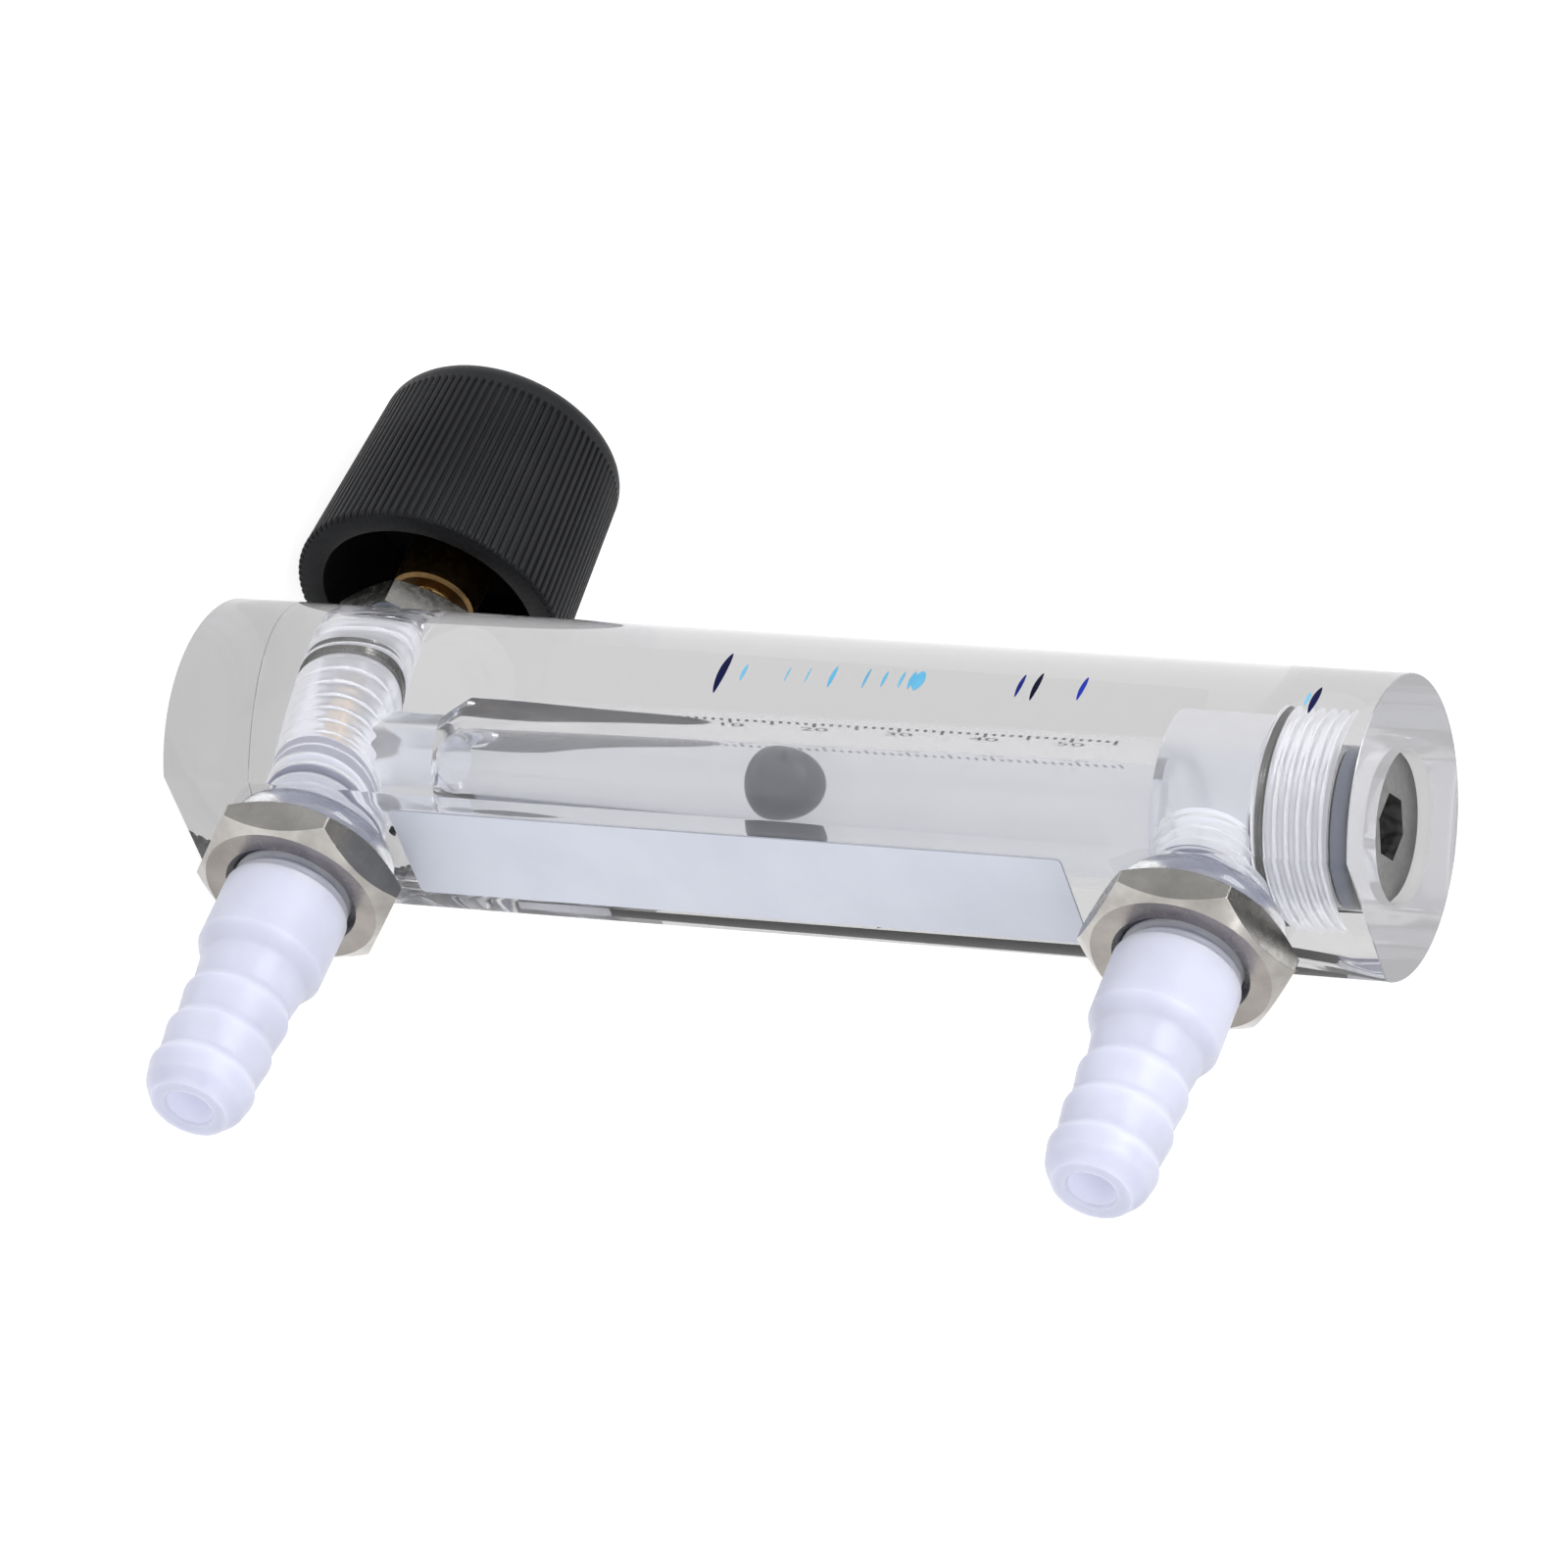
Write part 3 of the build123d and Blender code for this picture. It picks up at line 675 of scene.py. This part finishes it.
def build_plug():
    low, face = PLUG_LOW[2], PLUG_HIGH[2]
    neck_r = PLUG_HEAD_R - PLUG_SEAL_W
    head_low, head_edge = PLUG_SEAL_HIGH_Z + CLEAR, 0.3
    thread_low, thread_high = low + THREAD_START, PLUG_SEAL_LOW_Z - RUN_PAST
    loop = [(0, low), (PLUG_R - THREAD_LEAD, low), (PLUG_R, low + THREAD_LEAD)]
    loop += [(PLUG_R, z) for z in rows(thread_low, thread_high, PITCH / 12)]
    loop += [(PLUG_R, PLUG_SEAL_LOW_Z), (neck_r, PLUG_SEAL_LOW_Z), (neck_r, head_low)]
    loop += [(PLUG_HEAD_R, head_low), (PLUG_HEAD_R, face - head_edge)]
    loop += [(PLUG_HEAD_R - head_edge, face), (0, face)]
    plug = lathe(
        "hex_plug", loop, "Z", (0, 0, 0), plug_metal, segs=192,
        radial=helix(PLUG_R, thread_low, thread_high), sharp=30.0,
    )
    corners = hexagon(SOCKET_AF, 30.0)
    socket = prism("tool", corners, "Z", (0, 0, 0), face - SOCKET_DEPTH, face + 1, plug_metal)
    boolean(plug, socket)
    finish_mesh(plug, plug_metal, 30.0)
    section_r, mid = PLUG_SEAL_W / 2, (PLUG_SEAL_LOW_Z + PLUG_SEAL_HIGH_Z) / 2
    ring("plug_seal_ring", (0, 0, 0), "Z", PLUG_HEAD_R - section_r, section_r, mid,
         seal_dark, "meter", "plug_seal", "dark_seal")
    return add(plug, "meter", "top_plug", slot="plug_metal")


build_plug()


# Needle valve: bonnet, seals, seat, stem, insert and knob

VALVE = (0, 0, PORT_LOW_Z)


def build_bonnet():
    corners = hexagon(BONNET_AF, BONNET_TURN)
    bonnet = prism("bonnet_hex", corners, "Y", VALVE, HEX_TOP_Y, SPOT_Y, nickel)
    corner_r, chamfer = BONNET_AF * 0.6, 0.55
    loop = [(0, SPOT_Y + OVER_CUT), (corner_r, SPOT_Y + OVER_CUT), (corner_r, HEX_TOP_Y + chamfer)]
    loop += [(BONNET_AF / 2 - RUN_PAST, HEX_TOP_Y - OVER_CUT), (0, HEX_TOP_Y - OVER_CUT)]
    boolean(bonnet, lathe("tool", loop, "Y", VALVE, None, segs=160), "INTERSECT")
    rim, sunk = 0.3, SPOT_Y - 0.5
    thread_end = BONNET_THREAD_END_Y - 0.5
    loop = [(0, BONNET_LOW[1]), (COLLAR_R - rim, BONNET_LOW[1]), (COLLAR_R, BONNET_LOW[1] + rim)]
    loop += [(COLLAR_R, sunk), (BONNET_THREAD_R, sunk)]
    loop += [(BONNET_THREAD_R, y) for y in rows(SPOT_Y + TOOL_RUN_OUT, thread_end, PITCH / 10)]
    loop += [(BONNET_THREAD_R, thread_end + RUN_PAST), (BONNET_NOSE_R, BONNET_THREAD_END_Y)]
    loop += [(BONNET_NOSE_R, BONNET_HIGH[1]), (0, BONNET_HIGH[1])]
    screw = lathe(
        "tool", loop, "Y", VALVE, nickel, segs=144,
        radial=helix(BONNET_THREAD_R, SPOT_Y + SEAL_GROOVE_LEN, thread_end, SCREW_THREAD_DEPTH),
    )
    boolean(bonnet, screw, "UNION")
    loop = [(0, FRONT_CLEAR_Y), (BONNET_BORE_R, FRONT_CLEAR_Y), (BONNET_BORE_R, CYLINDER_START_Y)]
    loop += [(CYLINDER_R, CYLINDER_START_Y), (CYLINDER_R, 0), (0, 0)]
    boolean(bonnet, lathe("tool", loop, "Y", VALVE, None, segs=96))
    finish_mesh(bonnet, nickel, 30.0)
    return add(bonnet, "meter", "valve_bonnet", slot="nickel")


def build_stem():
    piston_r, stem_r, groove_r, needle_r, tip_r = 2.85, 2.3, 1.7, 1.9, 0.5
    thread_start, thread_end = -20.0, -9.6
    piston_start, groove_start, groove_end, piston_end = -9.4, -8.8, -7.4, -6.8
    start_y, tip_y = STEM_LOW[1], STEM_HIGH[1]
    cone_len, edge = 4.0, 0.2
    loop = [(0, start_y), (stem_r - edge, start_y), (stem_r, start_y + edge)]
    loop += [(stem_r, y) for y in rows(thread_start, thread_end, 0.06)]
    loop += [(stem_r, piston_start), (piston_r, piston_start), (piston_r, groove_start)]
    loop += [(groove_r, groove_start), (groove_r, groove_end), (piston_r, groove_end)]
    loop += [(piston_r, piston_end), (needle_r, piston_end), (needle_r, tip_y - cone_len)]
    loop += [(tip_r, tip_y), (0, tip_y)]
    screw = helix(stem_r, thread_start, thread_end, STEM_THREAD_DEPTH, STEM_PITCH)
    stem = lathe("needle_stem", loop, "Y", VALVE, brass, segs=96, radial=screw, sharp=30.0)
    return add(stem, "knob_and_stem", "valve_stem", slot="brass")


def build_seat():
    low, high = SEAT_LOW[1], SEAT_HIGH[1]
    outer, edge, orifice, cone = 5.0, 0.3, 1.3, 0.9
    loop = [(orifice + cone, low), (outer - edge, low), (outer, low + edge), (outer, high)]
    loop += [(orifice, high), (orifice, low + cone)]
    # The seat takes the emissive nylon: painted glow that lightens it.
    seat = lathe("orifice_seat", loop, "Y", VALVE, nylon_painted_glow, segs=96, sharp=30.0)
    return add(seat, "meter", "valve_seat", slot="nylon")


def build_insert():
    low, high = INSERT_LOW[1], INSERT_HIGH[1]
    outer, bore, edge, floor_y = INSERT_HIGH[0], 2.33, 0.3, -29.03
    loop = [(bore, high), (outer - edge, high), (outer, high - edge), (outer, low), (0, low)]
    loop += [(0, floor_y), (bore, floor_y)]
    # The bush takes the darkened brass: painted shade inside the knob's recess.
    insert = lathe("knob_bush", loop, "Y", VALVE, brass_painted_shade, segs=96, sharp=30.0)
    return add(insert, "knob_and_stem", "knob_insert", slot="brass")


def build_knob():
    mouth_y, top_y = KNOB_HIGH[1], KNOB_LOW[1]
    mouth_r, top_r = 12.0, 10.8
    slope = (mouth_r - top_r) / (mouth_y - top_y)
    recess_r, recess_y = 9.7, mouth_y - 10.5
    round_r, lip = 2.1, 0.4
    rib_top, rib_depth = top_y + 2.5, 0.32
    core_r, core_y = INSERT_HIGH[0] + 0.03, INSERT_LOW[1] - 0.03

    def side_r(y):
        return top_r + slope * (y - top_y)

    loop = [(recess_r - 0.5, recess_y), (recess_r - 0.05, mouth_y - 0.1), (recess_r + 0.1, mouth_y)]
    for s in range(7):
        t = math.pi / 2 * s / 6
        loop.append((mouth_r - lip + lip * math.sin(t), mouth_y - lip + lip * math.cos(t)))
    loop += [(side_r(y), y) for y in (mouth_y - 0.9, mouth_y - 5, mouth_y - 10, rib_top + 0.25, rib_top)]
    for s in range(13):
        t = math.pi / 2 * s / 12
        y = top_y + round_r - round_r * math.sin(t)
        loop.append((side_r(top_y + round_r) - round_r + round_r * math.cos(t), y))
    loop += [(5.0, top_y), (0, top_y), (0, core_y), (core_r, core_y), (core_r, recess_y)]

    def ribs(theta, r, h):
        flat = np.full(theta.shape, float(r))
        if r < 10.0 or h < rib_top + 0.2 or h > mouth_y - 0.01:
            return flat
        wave = np.cos(theta * RIBS)
        groove = np.clip((wave + 0.25) / 0.9, 0, 1)
        groove = groove * groove * (3 - 2 * groove)
        return flat - rib_depth * groove

    knob = lathe("valve_knob", loop, "Y", VALVE, knob_plastic, segs=RIBS * 12, radial=ribs, sharp=50.0)
    return add(knob, "knob_and_stem", "knob", slot="knob")


build_bonnet()
ring(
    "bonnet_seal_ring", VALVE, "Y", 5.675, 0.53, SPOT_Y + 0.55, seal_dark,
    "meter", "bonnet_seal", "dark_seal",
)
ring("stem_seal_ring", VALVE, "Y", 2.3, 0.57, -8.1, seal_dark, "stem_ring", "stem_seal", "dark_seal")
build_stem()
build_seat()
build_insert()
build_knob()


# Label, printed scale and pen marks

def build_label():
    low, high = LABEL_LOW, LABEL_HIGH
    half, corner = high[0], 0.5
    outline = []
    for cx, cz, turn in ((half, high[2], 0), (-half, high[2], 1), (-half, low[2], 2), (half, low[2], 3)):
        sx, sz = (1 if cx > 0 else -1), (1 if cz == high[2] else -1)
        for s in range(6):
            t = math.pi / 2 * (turn + s / 5)
            x = cx - sx * corner + corner * math.cos(t)
            outline.append((x, cz - sz * corner + corner * math.sin(t)))
    count = len(outline)
    points = [(x, y, z) for y in (FLAT_Y - GLUE, high[1]) for x, z in outline]
    faces = [tuple(range(count)), tuple(range(count, 2 * count))[::-1]]
    faces += [(j, (j + 1) % count, count + (j + 1) % count, count + j) for j in range(count)]
    label = make_object("backing_label", points, faces, label_white)
    return add(label, "meter", "scale_backing", slot="label")


def skin_patch(name, low_side, high_side, material):
    """A thin patch of ink on the round side, between two rows of (azimuth in degrees, z) points."""
    points, faces = [], []
    for layer in (BODY_R - INK_T, BODY_R):
        for low, high in zip(low_side, high_side):
            for a, z in (low, high):
                turn = math.radians(a)
                points.append((layer * math.cos(turn), layer * math.sin(turn), z))
    count = len(low_side)
    n = 2 * count
    for base in (0, n):
        faces += [(q, q + 1, q + 3, q + 2) for q in range(base, base + n - 2, 2)]
    for q in range(0, n - 2, 2):
        faces.append((q, q + 2, n + q + 2, n + q))
        faces.append((q + 1, q + 3, n + q + 3, n + q + 1))
    faces.append((0, 1, n + 1, n))
    faces.append((n - 2, n - 1, 2 * n - 1, 2 * n - 2))
    return make_object(name, points, faces, material)


def skin_bar(a0, a1, z, width, material, steps=6):
    turns = [a0 + (a1 - a0) * s / steps for s in range(steps + 1)]
    low_side = [(a, z - width / 2) for a in turns]
    high_side = [(a, z + width / 2) for a in turns]
    return skin_patch("bar", low_side, high_side, material)


def skin_stroke(a0, a1, z, width, material, steps=16):
    """A pen stroke along the girth, widest in its middle."""
    low_side, high_side = [], []
    for s in range(steps + 1):
        t = s / steps
        half = width / 2 * (0.06 + math.sin(math.pi * t) ** 0.7)
        low_side.append((a0 + (a1 - a0) * t, z - half))
        high_side.append((a0 + (a1 - a0) * t, z + half))
    return skin_patch("stroke", low_side, high_side, material)


def skin_number(text, x, z, height, material):
    """A plain number on the front, read along the scale with the tops of its figures towards -X."""
    curve = bpy.data.curves.new("number", "FONT")
    curve.body = text
    curve.size = height
    curve.align_x = "CENTER"
    curve.align_y = "CENTER"
    curve.resolution_u = 3
    curve.extrude = 0.01
    shape = bpy.data.objects.new("number", curve)
    bpy.context.scene.collection.objects.link(shape)
    bpy.context.view_layer.update()
    graph = bpy.context.evaluated_depsgraph_get()
    mesh = bpy.data.meshes.new_from_object(shape.evaluated_get(graph))
    bpy.data.objects.remove(shape, do_unlink=True)
    points, faces = [], [tuple(p.vertices) for p in mesh.polygons]
    for v in mesh.vertices:
        turn = -math.pi / 2 + (x - v.co.y) / BODY_R
        layer = BODY_R - INK_T if v.co.z < 0 else BODY_R
        points.append((layer * math.cos(turn), layer * math.sin(turn), z + v.co.x))
    bpy.data.meshes.remove(mesh)
    return make_object("number", points, faces, material)


def join(name, parts):
    """One object from several, keeping the first one's material."""
    work = bmesh.new()
    for part in parts:
        work.from_mesh(part.data)
    material = parts[0].data.materials[0]
    for part in parts:
        bpy.data.objects.remove(part, do_unlink=True)
    mesh = bpy.data.meshes.new(name)
    work.to_mesh(mesh)
    work.free()
    obj = bpy.data.objects.new(name, mesh)
    bpy.context.scene.collection.objects.link(obj)
    mesh.materials.append(material)
    return obj


SCALE_LOW_Z, SCALE_STEP, SCALE_STEPS = 36.0, 0.8, 55
SCALE_START_X, SHORT_LINE, LONG_LINE, LINE_W = 1.2, 1.6, 3.0, 0.30
NUMBER_H, NUMBER_GAP = 2.8, 0.3


def build_scale():
    """Scale lines on the front, every fifth one long and every tenth one numbered."""
    lines, numbers = [], []
    for step in range(SCALE_STEPS + 1):
        z = SCALE_LOW_Z + step * SCALE_STEP
        reach = SCALE_START_X + (LONG_LINE if step % 5 == 0 else SHORT_LINE)
        a0, a1 = (-90 + math.degrees(x / BODY_R) for x in (SCALE_START_X, reach))
        lines.append(skin_bar(a0, a1, z, LINE_W, ink_black))
        if step % 10 == 0:
            middle_x = SCALE_START_X + LONG_LINE + NUMBER_GAP + NUMBER_H * 0.35
            numbers.append(skin_number(str(step), middle_x, z, NUMBER_H, ink_black))
    add(join("scale_numbers", numbers), "meter", slot="ink")
    return add(join("scale_lines", lines), "meter", "scale_marks", slot="ink")


# Pen strokes on the side: ink, height of the stroke, its width in mm and its spread in degrees.
# Their row climbs a little towards the front as it goes up the body.
PEN_SIDE = -4.2
PEN_START_Z = 50.0
PEN_DRIFT = 0.12
PEN_MARKS = (
    ("navy", 49.4, 0.65, 22.0),
    ("cyan", 51.3, 0.30, 9.0),
    ("cyan", 55.2, 0.12, 8.0),
    ("cyan", 57.0, 0.12, 8.0),
    ("cyan", 59.2, 0.35, 12.0),
    ("cyan", 62.2, 0.2, 11.0),
    ("cyan", 63.8, 0.25, 9.0),
    ("cyan", 65.3, 0.25, 9.0),
    ("cyan", 66.2, 0.40, 10.0),
    ("cyan", 66.8, 1.0, 11.0),
    ("blue", 75.7, 0.35, 13.0),
    ("navy", 77.1, 0.45, 16.0),
    ("blue", 81.1, 0.4, 13.5),
    ("navy", 101.0, 0.55, 16.0),
    ("cyan", 100.4, 0.3, 8.0),
)


def build_pen_marks():
    inks = {"navy": ink_navy, "blue": ink_blue, "cyan": ink_cyan}
    for colour, ink in inks.items():
        strokes = []
        for kind, z, width, spread in PEN_MARKS:
            if kind == colour:
                side = PEN_SIDE - PEN_DRIFT * (z - PEN_START_Z)
                strokes.append(skin_stroke(side - spread / 2, side + spread / 2, z, width, ink))
        add(join("pen_marks_" + colour, strokes), "meter", slot="ink")


build_label()
build_scale()
build_pen_marks()


# Floor, light and camera

FLOOR_HALF = 3000.0
FLOOR_Z = -0.1
LIGHT_AIM = (0, 0, 0.05)


def build_stage():
    corners = [(-1, -1), (1, -1), (1, 1), (-1, 1)]
    points = [(x * FLOOR_HALF, y * FLOOR_HALF, FLOOR_Z) for x, y in corners]
    floor = make_object("floor", points, [(0, 1, 2, 3)], None)
    mat, tree, bsdf = shader("floor_white", (0.2, 0.2, 0.2), 0.8)
    bsdf.inputs["Emission Color"].default_value = (1, 1, 1, 1)
    bsdf.inputs["Emission Strength"].default_value = 0.9
    vary_colour(tree, bsdf, noise(tree, object_coords(tree), 3.0), (0.19, 0.19, 0.19), (0.21, 0.21, 0.21))
    floor.data.materials.append(mat)


def area_light(name, place, size, power):
    """A square lamp aimed at the meter; place and size are in metres."""
    data = bpy.data.lights.new(name, "AREA")
    data.shape = "RECTANGLE"
    data.size = data.size_y = size
    data.energy = power
    lamp = bpy.data.objects.new(name, data)
    bpy.context.scene.collection.objects.link(lamp)
    lamp.location = place
    lamp.rotation_euler = (Vector(LIGHT_AIM) - Vector(place)).to_track_quat("-Z", "Y").to_euler()


def build_light():
    world = bpy.data.worlds.new("soft_room")
    bpy.context.scene.world = world
    world.use_nodes = True
    tree = world.node_tree
    background = tree.nodes["Background"]
    background.inputs["Color"].default_value = (1, 1, 1, 1)
    # White down to the horizon, dimmer overhead
    coords = node(tree, "ShaderNodeTexCoord")
    parts = node(tree, "ShaderNodeSeparateXYZ")
    fall = node(tree, "ShaderNodeMapRange")
    for key, value in (("From Min", 0.5), ("From Max", 0.85), ("To Min", 1.0), ("To Max", 0.5)):
        fall.inputs[key].default_value = value
    tree.links.new(coords.outputs["Generated"], parts.inputs["Vector"])
    tree.links.new(parts.outputs["Z"], fall.inputs["Value"])
    tree.links.new(fall.outputs["Result"], background.inputs["Strength"])
    area_light("key", (0.75, -0.3, 0.95), 0.6, 12.0)
    area_light("fill", (0.3, 0.75, 0.95), 0.7, 4.5)
    area_light("back", (-0.15, -0.6, 0.84), 0.35, 1.0)


# Camera fitted to the photo's outline, in metres
CAMERA_PLACE = Vector((0.513937, 0.444936, 0.360888))
CAMERA_AIM = Vector((-0.014742, -0.012703, 0.042775))
CAMERA_UP = Vector((0.67515, -0.73481, -0.06494))
CAMERA_LENS = 207.255


def build_camera():
    data = bpy.data.cameras.new("photo_camera")
    data.sensor_width = 36.0
    data.lens = CAMERA_LENS
    data.clip_start = 0.05
    data.clip_end = 20.0
    camera = bpy.data.objects.new("photo_camera", data)
    bpy.context.scene.collection.objects.link(camera)
    back = (CAMERA_PLACE - CAMERA_AIM).normalized()
    right = CAMERA_UP.cross(back).normalized()
    up = back.cross(right)
    turn = Matrix((right, up, back)).transposed().to_4x4()
    camera.matrix_world = Matrix.Translation(CAMERA_PLACE) @ turn
    bpy.context.scene.camera = camera


build_stage()
build_light()
build_camera()

view = bpy.context.scene.view_settings
view.view_transform = "Standard"
view.look = "None"
